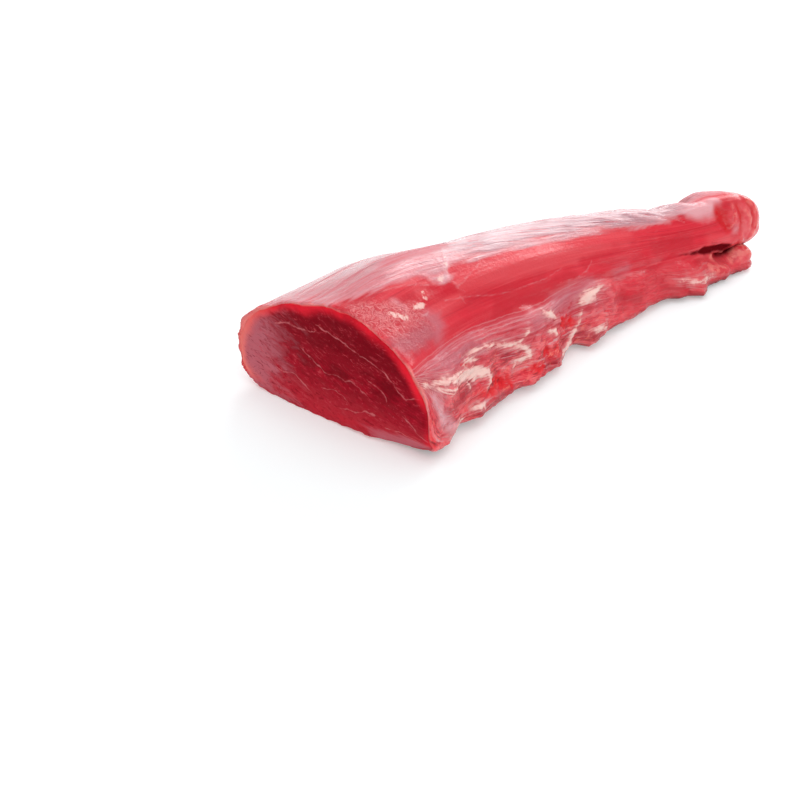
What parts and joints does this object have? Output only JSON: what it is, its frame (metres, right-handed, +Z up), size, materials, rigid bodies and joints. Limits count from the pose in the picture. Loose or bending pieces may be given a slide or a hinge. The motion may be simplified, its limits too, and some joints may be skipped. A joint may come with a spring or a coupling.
{
  "type": "beef tenderloin",
  "caption": "Raw trimmed beef tenderloin: a long tapering muscle with a clean cut at its thick end, a ragged side strap and a tucked, folded tail.",
  "frame": {"origin": "on the ground, below the middle of the piece's box", "axes": "+X from the cut end to the folded tail, +Z up, the ragged strap on the -Y side"},
  "size_m": [0.2982, 0.1274, 0.0628],
  "materials": {
    "raw_beef": "wet and glossy, fibrous red muscle with pale membrane, cream fat and a dark red cut face"
  },
  "bodies": {
    "root": {"beef_tenderloin": "raw_beef"}
  },
  "joints": []
}
